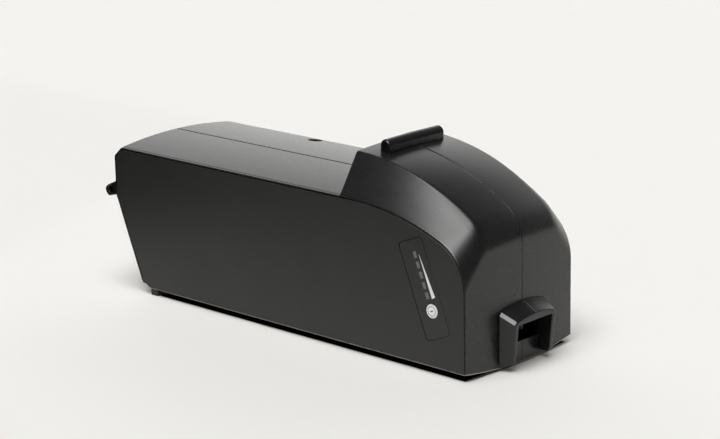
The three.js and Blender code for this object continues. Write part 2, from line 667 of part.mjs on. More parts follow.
rowNumbers.forEach((row) => place(`cell_row_${twoDigits(row)}`, cellRow(row), cellWrap()));
place("lower_cell_holder", cellHolder([CELL.bottom, CELL.bottom + HOLDER.thick]), holderPlastic());
place("upper_cell_holder", cellHolder([cellTop - HOLDER.thick, cellTop]), holderPlastic());
for (let i = 0; i < CELL.rows / 2; i += 1) {
  place(`top_strip_${i + 1}`, nickelStrip(2 * i, 2 * i + 1, cellTop + GAP), nickel());
}
for (let i = 0; i <= CELL.rows / 2; i += 1) {
  const first = Math.max(2 * i - 1, 0);
  const last = Math.min(2 * i, CELL.rows - 1);
  place(`bottom_strip_${i + 1}`, nickelStrip(first, last, CELL.bottom - GAP - STRIP.thick), nickel());
}
place("lower_insulator", innerSheet(INSULATOR.lower, INSULATOR.halfY), boardResin());
place("upper_insulator", innerSheet(INSULATOR.upper, INSULATOR.halfY), boardResin());
place("base_pad", innerSheet(PAD.lower, PAD.halfY), rubber());
place("top_pad", innerSheet(PAD.upper, PAD.halfY), rubber());

place("bms_board", bmsBoard(), boardResin());
place("bms_heatsink", heatsink(), steel());
place("fuse", fuse(), fuseBody());
place("socket_block", socketBlock(), holderPlastic());
place("positive_contact", contactBlade(1), nickel());
place("negative_contact", contactBlade(-1), nickel());
place("positive_lead", lead(1), redWire());
place("negative_lead", lead(-1), rubber());
place("indicator_board", indicatorBoard(), boardResin());
place("tact_switch", tactSwitch(), holderPlastic());

export default pack;
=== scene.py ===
"""Slide-on battery pack for an electric bicycle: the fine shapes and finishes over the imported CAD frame.

Shapes are worked out in millimetres and turned into metres when a mesh is made.
+X runs to the nose, +Y away from the indicator side, +Z up.
"""

import math

import bmesh
import bpy
import numpy as np
from mathutils import Matrix, Vector


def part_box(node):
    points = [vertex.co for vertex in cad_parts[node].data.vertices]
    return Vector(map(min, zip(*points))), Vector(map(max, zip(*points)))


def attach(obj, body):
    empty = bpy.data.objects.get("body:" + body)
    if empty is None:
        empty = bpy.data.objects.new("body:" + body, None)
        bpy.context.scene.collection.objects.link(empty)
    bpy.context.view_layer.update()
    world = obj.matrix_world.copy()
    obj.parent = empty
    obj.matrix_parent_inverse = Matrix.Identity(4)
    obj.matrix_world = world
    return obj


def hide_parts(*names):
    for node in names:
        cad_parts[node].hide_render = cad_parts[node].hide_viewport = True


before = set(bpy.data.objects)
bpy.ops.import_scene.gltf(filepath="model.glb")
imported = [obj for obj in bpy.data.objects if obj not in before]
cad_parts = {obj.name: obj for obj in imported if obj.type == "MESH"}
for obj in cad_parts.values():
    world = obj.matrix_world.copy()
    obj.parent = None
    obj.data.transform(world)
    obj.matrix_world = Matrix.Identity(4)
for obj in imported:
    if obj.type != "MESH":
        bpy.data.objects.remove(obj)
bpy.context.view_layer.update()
MM = 0.001
MERGE = 1e-7  # corners closer than this, in metres, become one


def box_mm(node):
    low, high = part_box(node)
    return np.array(low) / MM, np.array(high) / MM


# ---------- measures, in millimetres ----------

GAP = 0.3  # between neighbours
WALL = 2.5
TOP_CROWN = 3.6  # the top is higher than the side's upper edge along the middle
BASE_CROWN = 3.4  # the base is lower along the middle
FACE_BULGE = 2.2  # how far the nose's face stands ahead of NOSE_X along the middle
SIDE_AHEAD = 0.5  # and at the sides
NOSE_CROWN = 1.4
PANEL_LOW, PANEL_HIGH = box_mm("left_side_panel")
SHELL_LOW, SHELL_HIGH = box_mm("left_shell")
HALF_WIDTH = -PANEL_LOW[1]
NOSE_X = SHELL_HIGH[0] - FACE_BULGE
REAR_X = SHELL_LOW[0]
SIDE_BOTTOM = SHELL_LOW[2] + BASE_CROWN
NOSE_TOP = SHELL_HIGH[2] - NOSE_CROWN
SIDE_TOP = NOSE_TOP - 22.5
PANEL_BACK = -PANEL_HIGH[1]
WEB = 1.7  # the shell's wall behind a side panel
RECESS_Y = PANEL_BACK - GAP
INNER_Y = RECESS_Y - WEB
RIM = 0.6  # shell edge left showing round each side panel
SEAM_GAP = 0.5  # the dark seam between that edge and the panel
LOW_RIM = 0.55  # the edge along the bottom, where the panel sits tight
LOW_GAP = 0.06
STEP_X = NOSE_X - 89  # where the nose rises above the top
LEAST_STEP = 0.05
HEEL_Z = 58  # below this the rear face slants forward
REAR_BEVEL = (6.4, 5.8)  # along the top and down the rear face
SHOULDER_HALF = 30.5  # half width of the panel on top of the nose
SHOULDER = {"radius": 150, "back": 92, "fillet": 22}
SEAM = {"radius": 170, "back": 82, "fillet": 29}
ARC_STOP = 6  # the long arc ends this far ahead of the step
FILLET_STEPS = 14
ARC_STEPS = 34
STRIP_Y = 43.1  # outside this a shallow step runs along the top's edge
STRIP_RUN = 0.25
STRIP_DROP = 0.12
RIM_ROUND = 0.5
PARTING_ROUND = 0.55  # the edges along the parting line
PARTING_HALF = 0.24  # half the parting line's width at its widest

# The lower rear corner, as distances ahead of the rear face and above the base. The outside has a
# notch; the side panels and the inside follow a plainer line.
NOTCHED = [(19.8, 3.6), (21, 2.1), (23.6, 2.0), (25.4, 0.7), (27.2, 0)]
PLAIN = [(20.4, 3.9), (22.0, 3.0), (23.9, 2.2), (25.8, 1.0), (28.3, 0)]
HEEL_RADII = [1.2, 0.7, 0.6, 0.8, 1.5]
FACE_FOOT_RADIUS = 1.2
STEP_RADII = [0.9, 0.7]
REAR_RADII = [2.2, 2.2, 6]
CORNER_STEPS = 5
LEAST_RADIUS = 0.05
MOST_OF_EDGE = 0.45  # the share of an edge that the arc at its corner may use up
STRAIGHT = 1e-3  # a corner that turns less than this many radians counts as straight

LABEL_LOW, LABEL_HIGH = box_mm("indicator_overlay")
LABEL_CENTRE = (LABEL_LOW + LABEL_HIGH)[[0, 2]] / 2
LABEL_SIZE = (17.4, 54.6)
LABEL_CORNER = 2.4
LABEL_TILT = math.radians(21.4)
LIGHTS = [f"light_window_{i}" for i in range(1, 6)]
LIGHT_SIZE = (2.3, 3.7)
SCREWS = [f"panel_screw_{i}" for i in range(1, 5)]

MOUTH = {"x": (NOSE_X - 8, NOSE_X + 8), "y": (-14.2, 14.2), "z": (13, 26.8)}
BAR_SLOT = {"half_x": 2.3, "y": (-17.3, 17.3), "z": (95, NOSE_TOP + 0.5)}
BAR_SEAT = 0.12  # the shells stand this clear of the bar's foot
LOCK_AT = (NOSE_X - 187.2, 38)
LOCK_BORE = [(82, 4.3), (SIDE_TOP + 0.9, 4.3), (SIDE_TOP + 1.5, 4.7), (95, 4.7)]  # height and radius
STEM_BORE = 2.8  # for the push button's stem
SCREW_BORE = 1.8


# ---------- outlines ----------

def ease(t):
    t = np.clip(t, 0, 1)
    return t * t * (3 - 2 * t)


def dome(y):
    return 1 - (y / HALF_WIDTH) ** 2


def base_z(y):
    return SIDE_BOTTOM - BASE_CROWN * dome(y)


def top_z(y):
    step = STRIP_DROP * float(ease((abs(y) - STRIP_Y) / STRIP_RUN))
    return SIDE_TOP + TOP_CROWN * dome(y) - step


def face_x(y):
    return NOSE_X + SIDE_AHEAD + (FACE_BULGE - SIDE_AHEAD) * dome(y)


def nose_curve(shape, peak, face):
    """The nose in side view, from the face up and back to the step: a fillet, then a long arc."""
    radius, fillet = shape["radius"], shape["fillet"]
    centre = np.array([NOSE_X - shape["back"], peak - radius])
    inner_x = face - fillet
    inner_z = centre[1] + math.sqrt((radius - fillet) ** 2 - (inner_x - centre[0]) ** 2)
    turn = math.atan2(inner_z - centre[1], inner_x - centre[0])
    last = math.acos((max(STEP_X + ARC_STOP, centre[0]) - centre[0]) / radius)
    around = np.linspace(0, turn, FILLET_STEPS + 1)
    along = np.linspace(turn, last, ARC_STEPS + 1)[1:]
    first = np.column_stack([inner_x + fillet * np.cos(around), inner_z + fillet * np.sin(around)])
    rest = centre + radius * np.column_stack([np.cos(along), np.sin(along)])
    step_z = centre[1] + math.sqrt(radius ** 2 - max(STEP_X - centre[0], 0) ** 2)
    return np.vstack([first, rest, [[STEP_X, step_z]]])


def crown_curve(y):
    lift = NOSE_CROWN * (1 - (y / SHOULDER_HALF) ** 2)
    return nose_curve(SHOULDER, NOSE_TOP + lift, face_x(y))


SHOULDER_EDGE = nose_curve(SHOULDER, NOSE_TOP, face_x(SHOULDER_HALF))
SEAM_EDGE = nose_curve(SEAM, SIDE_TOP, face_x(HALF_WIDTH))


def facet_curve(y):
    share = (y - SHOULDER_HALF) / (HALF_WIDTH - SHOULDER_HALF)
    return SHOULDER_EDGE + (SEAM_EDGE - SHOULDER_EDGE) * share


# How far to each side the shoulder's crease is rounded: hardly at the back, softly at the front.
CREASE = {"back": 0.6, "more": 2.6, "starts": NOSE_X - 50, "over": 46}
SOFTNESS = CREASE["back"] + CREASE["more"] * ease((SHOULDER_EDGE[:, 0] - CREASE["starts"]) / CREASE["over"])
SOFT_START = np.array([crown_curve(SHOULDER_HALF - s)[i] for i, s in enumerate(SOFTNESS)])
SOFT_END = np.array([facet_curve(SHOULDER_HALF + s)[i] for i, s in enumerate(SOFTNESS)])


def nose_at(y):
    curve = crown_curve(y) if y < SHOULDER_HALF else facet_curve(y)
    t = ((y - SHOULDER_HALF) / SOFTNESS + 1) / 2
    t = t[:, None]
    bend = (1 - t) ** 2 * SOFT_START + 2 * t * (1 - t) * SHOULDER_EDGE + t ** 2 * SOFT_END
    return np.where((t > 0) & (t < 1), bend, curve)


def section(y, heel=NOTCHED):
    """The body's sharp-cornered outline in X and Z at one distance from the middle, and its corner radii."""
    base, top = base_z(y), top_z(y)
    nose = nose_at(y)
    nose[-1, 1] = max(nose[-1, 1], top + LEAST_STEP)
    points = [(REAR_X + forward, base + up) for forward, up in heel]
    points += [(face_x(y), base), *map(tuple, nose), (STEP_X, top)]
    points += [(REAR_X + REAR_BEVEL[0], top), (REAR_X, top - REAR_BEVEL[1]), (REAR_X, HEEL_Z)]
    radii = [*HEEL_RADII, FACE_FOOT_RADIUS, *[0] * (len(nose) - 1), *STEP_RADII, *REAR_RADII]
    return np.array(points, float), np.array(radii, float)


def edge_normals(points):
    step = np.roll(points, -1, axis=0) - points
    length = np.maximum(np.linalg.norm(step, axis=1, keepdims=True), 1e-9)
    return np.column_stack([-step[:, 1], step[:, 0]]) / length


def inset(points, distance):
    """Moves an outline inward; the distance is one number or one for each point."""
    ahead = edge_normals(points)
    behind = np.roll(ahead, 1, axis=0)
    share = 1 + (ahead * behind).sum(axis=1)
    return points + (ahead + behind) * (np.asarray(distance) / share)[..., None]


def rounded(points, radii):
    """Replaces each corner that has a radius by an arc with a fixed number of points."""
    made = []
    count = len(points)
    for i, radius in enumerate(radii):
        corner = points[i]
        if radius <= 0:
            made.append(corner)
            continue
        back, on = points[i - 1] - corner, points[(i + 1) % count] - corner
        room = MOST_OF_EDGE * min(np.linalg.norm(back), np.linalg.norm(on))
        back, on = back / np.linalg.norm(back), on / np.linalg.norm(on)
        turn = math.pi - math.acos(float(np.clip(back @ on, -1, 1)))
        if turn < STRAIGHT:
            shares = np.linspace(0, 1, CORNER_STEPS + 1)
            made.extend(corner + back * room + (on - back) * room * t for t in shares)
            continue
        reach = min(radius * math.tan(turn / 2), room)
        actual = reach / math.tan(turn / 2)
        start = corner + back * reach
        side = np.array([back[1], -back[0]])
        side = side if side @ on > 0 else -side
        for angle in np.linspace(0, turn, CORNER_STEPS + 1):
            made.append(start - back * actual * math.sin(angle) + side * actual * (1 - math.cos(angle)))
    return np.array(made)


def loop(outline, distance=0.0):
    """A sharp outline, moved inward and then given its rounded corners."""
    points, radii = outline
    ahead = edge_normals(points)
    behind = np.roll(ahead, 1, axis=0)
    convex = behind[:, 0] * ahead[:, 1] - behind[:, 1] * ahead[:, 0] > 0
    changed = np.where(convex, np.maximum(radii - distance, LEAST_RADIUS), radii + distance)
    return rounded(inset(points, distance), np.where(radii > 0, changed, 0))


def side_outline(rim, low_rim):
    """The side's outline, drawn in by one distance, or by another along the bottom."""
    points, radii = section(HALF_WIDTH, PLAIN)
    drawn = inset(points, rim)
    drawn[drawn[:, 1] < SIDE_BOTTOM + rim + 0.1, 1] += low_rim - rim
    return drawn, np.where(radii > 0, np.maximum(radii - rim, 0.3), 0)


def rectangle(width, height, corner):
    half_w, half_h = width / 2, height / 2
    points = [(half_w, -half_h), (half_w, half_h), (-half_w, half_h), (-half_w, -half_h)]
    return np.array(points, float), np.full(4, float(corner))


def quarter(count):
    return np.linspace(0, math.pi / 2, count + 1)


def edge_levels(low, high, low_round, high_round, steps=4):
    """Levels between two planes with the inset each needs for rounded edges."""
    turns = [(math.cos(a), math.sin(a)) for a in quarter(steps)]
    levels = [(low + low_round * (1 - cos), low_round * (1 - sin)) for cos, sin in turns]
    levels += [(high - high_round * (1 - sin), high_round * (1 - cos)) for cos, sin in turns]
    return levels


# ---------- meshes ----------

def as_object(name, vertices, faces):
    mesh = bpy.data.meshes.new(name)
    mesh.from_pydata([tuple(v) for v in np.asarray(vertices) * MM], [], faces)
    made = bmesh.new()
    made.from_mesh(mesh)
    bmesh.ops.remove_doubles(made, verts=made.verts, dist=MERGE)
    bmesh.ops.recalc_face_normals(made, faces=made.faces)
    made.to_mesh(mesh)
    made.free()
    obj = bpy.data.objects.new(name, mesh)
    bpy.context.scene.collection.objects.link(obj)
    return obj


def skin(name, loops, capped=True):
    """A closed solid through loops of equally many [x, y, z] points: capped at both ends, or a ring."""
    count = len(loops[0])
    if not capped:
        loops = [*loops, loops[0]]
    vertices = np.vstack(loops)
    faces = []
    for row in range(len(loops) - 1):
        for i in range(count):
            j = (i + 1) % count
            here, there = row * count, (row + 1) * count
            faces.append((here + i, here + j, there + j, there + i))
    if capped:
        faces.append(tuple(range(count)))
        faces.append(tuple(range((len(loops) - 1) * count, len(loops) * count))[::-1])
    return as_object(name, vertices, faces)


def xz_at(points, y):
    """Puts outline points, drawn in X and Z, at a Y."""
    return np.column_stack([points[:, 0], np.broadcast_to(y, len(points)), points[:, 1]])


def prism_xz(name, outline, levels):
    return skin(name, [xz_at(loop(outline, d), y) for y, d in levels])


def turned(name, axis, centre, profile, sides=48, capped=True):
    """A solid turned about a line along Y or Z.

    The centre is the line's other two coordinates. The profile is a list of (place along it, radius).
    """
    angles = np.linspace(0, 2 * math.pi, sides, endpoint=False)
    order = {"y": (0, 2, 1), "z": (0, 1, 2)}[axis]
    rings = []
    for along, radius in profile:
        across, up = radius * np.cos(angles), radius * np.sin(angles)
        flat = [centre[0] + across, centre[1] + up, np.full(sides, along)]
        rings.append(np.column_stack([flat[k] for k in order]))
    return skin(name, rings, capped)


def bore(centre, low, high, radius):
    """A plain cutter along Y."""
    return turned("hole", "y", centre, [(low, radius), (high, radius)])


def block(name, x, y, z):
    corners = np.array([(x[0], z[0]), (x[1], z[0]), (x[1], z[1]), (x[0], z[1])], float)
    return skin(name, [xz_at(corners, y[0]), xz_at(corners, y[1])])


def carve(obj, *tools):
    """Cuts the tools out of the object and removes them."""
    for tool in tools:
        cut = obj.modifiers.new("cut", "BOOLEAN")
        cut.operation = "DIFFERENCE"
        cut.solver = "EXACT"
        cut.object = tool
    graph = bpy.context.evaluated_depsgraph_get()
    mesh = bpy.data.meshes.new_from_object(obj.evaluated_get(graph))
    obj.modifiers.clear()
    old, obj.data = obj.data, mesh
    bpy.data.meshes.remove(old)
    mesh.name = obj.name
    for tool in tools:
        shape = tool.data
        bpy.data.objects.remove(tool)
        bpy.data.meshes.remove(shape)
    return obj


def finish_piece(obj, material, body="pack", nodes=(), sharp=32):
    """Shading, finish, and what the piece is in the frame. Edges that bend more than sharp degrees stay."""
    obj.data.polygons.foreach_set("use_smooth", [True] * len(obj.data.polygons))
    obj.data.set_sharp_from_angle(angle=math.radians(sharp))
    weighted = obj.modifiers.new("even_shading", "WEIGHTED_NORMAL")
    weighted.keep_sharp = True
    weighted.weight = 50
    obj.data.materials.clear()
    obj.data.materials.append(material)
    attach(obj, body)
    if nodes:
        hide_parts(*nodes)
    return obj


# ---------- finishes ----------

def nodes_of(material):
    material.use_nodes = True
    tree = material.node_tree
    shader = tree.nodes["Principled BSDF"]
    return tree, shader


def noise(tree, source, scale, detail=2.0, rough=0.5):
    node = tree.nodes.new("ShaderNodeTexNoise")
    node.inputs["Scale"].default_value = scale
    node.inputs["Detail"].default_value = detail
    node.inputs["Roughness"].default_value = rough
    tree.links.new(source, node.inputs["Vector"])
    return node.outputs["Fac"]


def spread(tree, value, low, high, from_low=0.3, from_high=0.7):
    node = tree.nodes.new("ShaderNodeMapRange")
    node.inputs["From Min"].default_value = from_low
    node.inputs["From Max"].default_value = from_high
    node.inputs["To Min"].default_value = low
    node.inputs["To Max"].default_value = high
    tree.links.new(value, node.inputs["Value"])
    return node.outputs["Result"]


def blend_colours(tree, share, first, second):
    node = tree.nodes.new("ShaderNodeMix")
    node.data_type = "RGBA"
    for socket, colour in ((node.inputs[6], first), (node.inputs[7], second)):
        if isinstance(colour, tuple):
            socket.default_value = (*colour, 1)
        else:
            tree.links.new(colour, socket)
    tree.links.new(share, node.inputs[0])
    return node.outputs[2]


def combined(tree, operation, first, *others):
    for other in others:
        node = tree.nodes.new("ShaderNodeMath")
        node.operation = operation
        tree.links.new(first, node.inputs[0])
        tree.links.new(other, node.inputs[1])
        first = node.outputs[0]
    return first


FLOOR_GLOW_Z = ((SIDE_BOTTOM + 0.6) * MM, (SIDE_BOTTOM + 1.2) * MM)  # the painted highlight on the lower edge fades out between these heights


def floor_glow_mask(tree, place):
    """A mask for a painted highlight: one on the rounded lower edge of the sides and the face, which leans
    over toward the floor, where light bounced off the floor is painted in.
    """
    facing = tree.nodes.new("ShaderNodeSeparateXYZ")
    tree.links.new(tree.nodes.new("ShaderNodeNewGeometry").outputs["Normal"], facing.inputs[0])
    where = tree.nodes.new("ShaderNodeSeparateXYZ")
    tree.links.new(place, where.inputs[0])
    leaning = spread(tree, facing.outputs["Z"], 1, 0, -0.45, -0.15)
    upright = spread(tree, facing.outputs["Z"], 0, 1, -0.97, -0.85)
    forward = spread(tree, facing.outputs["X"], 0, 1, -0.25, -0.1)
    low = spread(tree, where.outputs["Z"], 1, 0, *FLOOR_GLOW_Z)
    return combined(tree, "MULTIPLY", leaning, upright, forward, low)


IOR = 1.5
MOTTLE_SCALE = 38
GLOSS_SCALE = 210
GRAIN_STRENGTH = 0.35
EDGE_FROM, EDGE_TO = 0.53, 0.62  # pointiness of a flat place, and of a worn edge


def surface(name, colour, roughness, metallic=0.0, grain=2200, grain_depth=0.003, vary=0.1, wear=0.0,
            roughness_vary=0.025, specular=0.5, painted_floor_glow=None):
    """Moulded or drawn surface with mottled colour, uneven gloss and fine grain.

    The grain is in cells per metre and its depth in millimetres. Wear makes the edges paler, and
    the lower edge colour is a painted highlight on the rounded lower edge, for light bounced off the floor.
    """
    material = bpy.data.materials.new(name)
    tree, shader = nodes_of(material)
    shader.inputs["Metallic"].default_value = metallic
    shader.inputs["IOR"].default_value = IOR
    shader.inputs["Specular IOR Level"].default_value = specular
    place = tree.nodes.new("ShaderNodeTexCoord").outputs["Object"]
    cloudy = noise(tree, place, MOTTLE_SCALE, 4)
    darker = tuple(c * (1 - vary) for c in colour)
    lighter = tuple(c * (1 + vary) for c in colour)
    tone = blend_colours(tree, spread(tree, cloudy, 0, 1), darker, lighter)
    if wear > 0:
        geometry = tree.nodes.new("ShaderNodeNewGeometry")
        edge = spread(tree, geometry.outputs["Pointiness"], 0, wear, EDGE_FROM, EDGE_TO)
        worn = tuple(min(1.0, c * 2.5 + 0.02) for c in colour)
        tone = blend_colours(tree, edge, tone, worn)
    # Painted highlight: the rounded lower edge is made paler, for light bounced off the floor.
    if painted_floor_glow:
        tone = blend_colours(tree, floor_glow_mask(tree, place), tone, painted_floor_glow)
    tree.links.new(tone, shader.inputs["Base Color"])
    uneven = noise(tree, place, GLOSS_SCALE, 3, 0.6)
    gloss = spread(tree, uneven, roughness - roughness_vary, roughness + roughness_vary)
    tree.links.new(gloss, shader.inputs["Roughness"])
    bump = tree.nodes.new("ShaderNodeBump")
    bump.inputs["Strength"].default_value = GRAIN_STRENGTH
    bump.inputs["Distance"].default_value = grain_depth * MM
    tree.links.new(noise(tree, place, grain, 2, 0.55), bump.inputs["Height"])
    tree.links.new(bump.outputs["Normal"], shader.inputs["Normal"])
    return material


# The shell's pale lower edge colour is a painted highlight, for light bounced off the floor.
SHELL = surface("shell_plastic", (0.0095, 0.0095, 0.0096), 0.28, grain_depth=0.0015, vary=0.06,
                roughness_vary=0.012, painted_floor_glow=(0.42, 0.41, 0.38))
HOOD = surface("hood_plastic", (0.0085, 0.0085, 0.0087), 0.3)
PANEL = surface("panel_plastic", (0.012, 0.0116, 0.0098), 0.46)
BAR = surface("bar_plastic", (0.0055, 0.0058, 0.0058), 0.26, grain_depth=0.001, wear=0.1, specular=0.4)
LABEL = surface("label_film", (0.0125, 0.0121, 0.0104), 0.42, grain=3200, grain_depth=0.002)
PRINT = surface("white_print", (0.84, 0.87, 0.88), 0.45, vary=0.03)
GREY_PRINT = surface("grey_print", (0.33, 0.34, 0.35), 0.45, vary=0.03)
DARK_PRINT = surface("dark_print", (0.02, 0.02, 0.022), 0.45, vary=0.05)
BUTTON = surface("button_plastic", (0.93, 0.95, 0.955), 0.38, vary=0.02)
WINDOW = surface("light_window", (0.15, 0.15, 0.138), 0.32, vary=0.08)
RUBBER = surface("rubber", (0.012, 0.012, 0.012), 0.8, grain=1400, grain_depth=0.02)
SLEEVE = surface("cell_wrap", (0.03, 0.16, 0.27), 0.35, grain=700, grain_depth=0.01)
HOLDER = surface("holder_plastic", (0.012, 0.012, 0.012), 0.55)
NICKEL = surface("nickel", (0.6, 0.57, 0.52), 0.32, metallic=1.0, grain=900, grain_depth=0.01, vary=0.06)
RESIN = surface("board_resin", (0.012, 0.11, 0.045), 0.42, grain=1500, grain_depth=0.01, vary=0.2)
STEEL = surface("steel", (0.33, 0.34, 0.36), 0.3, metallic=1.0, grain=1200, grain_depth=0.01, vary=0.08)
FUSE = surface("fuse_body", (0.55, 0.32, 0.02), 0.35)
RED_WIRE = surface("red_wire", (0.35, 0.015, 0.01), 0.45)


# ---------- shells ----------

# Distances from the middle of the outer sections, closest together at the shoulder's crease.
STATIONS = [43.4, 43.25, 43.1, 42, 40, 38, 36.4, 35.2, 34, 33.1, 32.3, 31.7, 31.2, 30.8, 30.5, 30.2, 29.8,
            29.3, 28.7, 27.9, 26.9, 25.6, 24, 21, 17.5, 13.5, 9.5, 6, 3.5, 1.8]
INNER_STATIONS = [16, 24, 28, SHOULDER_HALF, 34, INNER_Y]
SEAT_BEVEL = 0.06  # on the rim round each side panel


def groove_share(points):
    """How open the parting line is: clear along the top, nearly shut over the nose's bend, then faint."""
    fade = 14
    forward = ease((points[:, 0] - (NOSE_X - 38)) / fade)
    lower = ease((90 - points[:, 1]) / fade)
    return 1 - forward * (0.9 - 0.45 * lower)


def shell_loops():
    recess = side_outline(RIM, LOW_RIM)
    loops = [
        xz_at(loop(recess), RECESS_Y),
        xz_at(loop(recess), HALF_WIDTH - SEAT_BEVEL),
        xz_at(loop(recess, -SEAT_BEVEL), HALF_WIDTH),
    ]
    for angle in quarter(4):
        y = HALF_WIDTH - RIM_ROUND * (1 - math.cos(angle))
        loops.append(xz_at(loop(section(y), RIM_ROUND * (1 - math.sin(angle))), y))
    loops += [xz_at(loop(section(y)), y) for y in STATIONS]
    middle = loop(section(PARTING_ROUND))
    share = groove_share(middle)
    least = PARTING_HALF * share
    for angle in quarter(4):
        y = least + PARTING_ROUND * share * (1 - math.sin(angle))
        loops.append(xz_at(inset(middle, PARTING_ROUND * share * (1 - math.cos(angle))), y))
    loops.append(xz_at(loop(section(0, PLAIN), WALL), least))
    loops += [xz_at(loop(section(y, PLAIN), WALL), y) for y in INNER_STATIONS]
    return loops


BAR_LOW, BAR_HIGH = box_mm("hook_bar")
BAR_X = (BAR_LOW[0] + BAR_HIGH[0]) / 2
BAR_RADIUS = (BAR_HIGH[0] - BAR_LOW[0]) / 2
BAR_Z = BAR_HIGH[2] - BAR_RADIUS
BAR_TAPER = 0.3  # the ends are this much thinner than the middle
BAR_END_ROUND = 1.3
BAR_PAST_HALF = 0.12  # radians by which the arch goes past a half circle at each side
BAR_FOOT = {"below": 0.15, "neck": 1.6, "flare": 0.05, "corner": 0.5}


def bar_loops(grow=0.0):
    """The hook bar's sections along its length: round above, straight down to a flat foot."""
    half = BAR_HIGH[1]
    levels = edge_levels(-half, half, BAR_END_ROUND, BAR_END_ROUND, 6)
    levels.insert(len(levels) // 2, (0, 0))
    angles = np.linspace(-BAR_PAST_HALF, math.pi + BAR_PAST_HALF, 29)
    corner = BAR_FOOT["corner"]
    loops = []
    for y, d in levels:
        drawn = BAR_RADIUS - BAR_TAPER * abs(y) / half - d + grow
        arch = np.column_stack([BAR_X + drawn * np.cos(angles), BAR_Z + drawn * np.sin(angles)])
        neck_z = BAR_Z - BAR_FOOT["neck"]
        foot_z = BAR_Z - BAR_RADIUS - BAR_FOOT["below"] + d - grow
        flare = drawn + BAR_FOOT["flare"]
        rear = [(-drawn, neck_z), (-flare, foot_z + corner), (-flare + corner, foot_z)]
        foot = [(BAR_X + x, z) for x, z in rear] + [(BAR_X - x, z) for x, z in rear[::-1]]
        loops.append(xz_at(np.vstack([arch, foot]), y * (1 + grow / half)))
    return loops


def openings():
    """What is cut out of a finished shell: the socket's mouth, the bar's seat and its slot."""
    slot_x = (BAR_X - BAR_SLOT["half_x"], BAR_X + BAR_SLOT["half_x"])
    mouth = block("mouth", MOUTH["x"], MOUTH["y"], MOUTH["z"])
    seat = skin("seat", bar_loops(BAR_SEAT))
    slot = block("slot", slot_x, BAR_SLOT["y"], BAR_SLOT["z"])
    return mouth, seat, slot


def on_label(u, w):
    """Label coordinates to X and Z: u runs across the label and w down it, towards the button."""
    cos, sin = math.cos(LABEL_TILT), math.sin(LABEL_TILT)
    return LABEL_CENTRE + np.column_stack([u * cos + w * sin, u * sin - w * cos])


def tilted(outline, centre):
    """Turns an outline drawn across and along the label into X and Z."""
    (across, along), radii = outline[0].T, outline[1]
    cos, sin = math.cos(LABEL_TILT), math.sin(LABEL_TILT)
    points = np.column_stack([across * cos - along * sin, across * sin + along * cos])
    return points + np.asarray(centre), radii


def middle_xz(node):
    low, high = box_mm(node)
    return ((low + high) / 2)[[0, 2]]


BUTTON_LOW, BUTTON_HIGH = box_mm("push_button")
DISC_RADIUS = (BUTTON_HIGH[0] - BUTTON_LOW[0]) / 2
BUTTON_AT = middle_xz("push_button")
CUT_PAST = 1  # cutters reach this far past what they cut
LIGHT_GAP = 0.1  # from side to side, both gaps together
POCKET_DEPTH = 0.9  # for the indicator film, from the panel's face
PANEL_ROUND = (0.15, 0.35)  # the panel's edges, at its back and at its face
BAR_STEM = {"half_x": 2, "half_y": 17, "round": 0.4}

# Screws as (place out from the tip, or from the head's outer end, radius), and their seats from the
# panel's face.
SCREW_TIP = [(0, 0.9), (0.6, 1.5)]
SCREW_HEAD = [(-0.9, 1.5), (-0.89, 2.6), (-0.8, 2.8), (-0.45, 2.75), (-0.2, 2.4), (-0.05, 1.7), (0, 0.6)]
SCREW_SEAT = [(-1.4, SCREW_BORE), (-1.39, 3.1), (-0.3, 3.1), (0.3, 3.7)]
CROSS = {"long": 1.3, "short": 0.3, "depth": 0.6}


def light_cutters(y0, y1):
    hole = rectangle(LIGHT_SIZE[0] + LIGHT_GAP, LIGHT_SIZE[1] + LIGHT_GAP, 0.5)
    return [prism_xz("hole", tilted(hole, middle_xz(node)), [(y0, 0), (y1, 0)]) for node in LIGHTS]


def mirrored(rings):
    return [ring * np.array([1, -1, 1]) for ring in rings]


def make_shells():
    loops = shell_loops()
    web = (-RECESS_Y - CUT_PAST, -INNER_Y + CUT_PAST)
    left = skin("shell_left", mirrored(loops))
    carve(left, *openings(), bore(BUTTON_AT, *web, STEM_BORE), *light_cutters(*web))
    finish_piece(left, SHELL, nodes=["left_shell"])
    right = skin("shell_right", loops)
    lock = turned("lock", "z", LOCK_AT, LOCK_BORE)
    holes = [bore(middle_xz(node), INNER_Y - CUT_PAST, RECESS_Y + CUT_PAST, SCREW_BORE) for node in SCREWS]
    carve(right, *openings(), lock, *holes)
    finish_piece(right, SHELL, nodes=["right_shell"])


def make_panels():
    outline = side_outline(RIM + SEAM_GAP, LOW_RIM + LOW_GAP)
    rings = [xz_at(loop(outline, d), y) for y, d in edge_levels(PANEL_BACK, HALF_WIDTH, *PANEL_ROUND)]
    left = skin("side_panel_left", mirrored(rings))
    through = (-HALF_WIDTH - CUT_PAST, -PANEL_BACK + CUT_PAST)
    wide = rectangle(LABEL_SIZE[0] + 2 * GAP, LABEL_SIZE[1] + 2 * GAP, LABEL_CORNER)
    depth = [(through[0], 0), (-HALF_WIDTH + POCKET_DEPTH, 0)]
    pocket = prism_xz("pocket", tilted(wide, LABEL_CENTRE), depth)
    carve(left, pocket, bore(BUTTON_AT, *through, DISC_RADIUS + GAP), *light_cutters(*through))
    finish_piece(left, PANEL, nodes=["left_side_panel"])
    right = skin("side_panel_right", rings)
    profile = [(PANEL_BACK - CUT_PAST, SCREW_BORE), *((HALF_WIDTH + y, radius) for y, radius in SCREW_SEAT)]
    carve(right, *(turned("seat", "y", middle_xz(node), profile) for node in SCREWS))
    finish_piece(right, PANEL, nodes=["right_side_panel"])


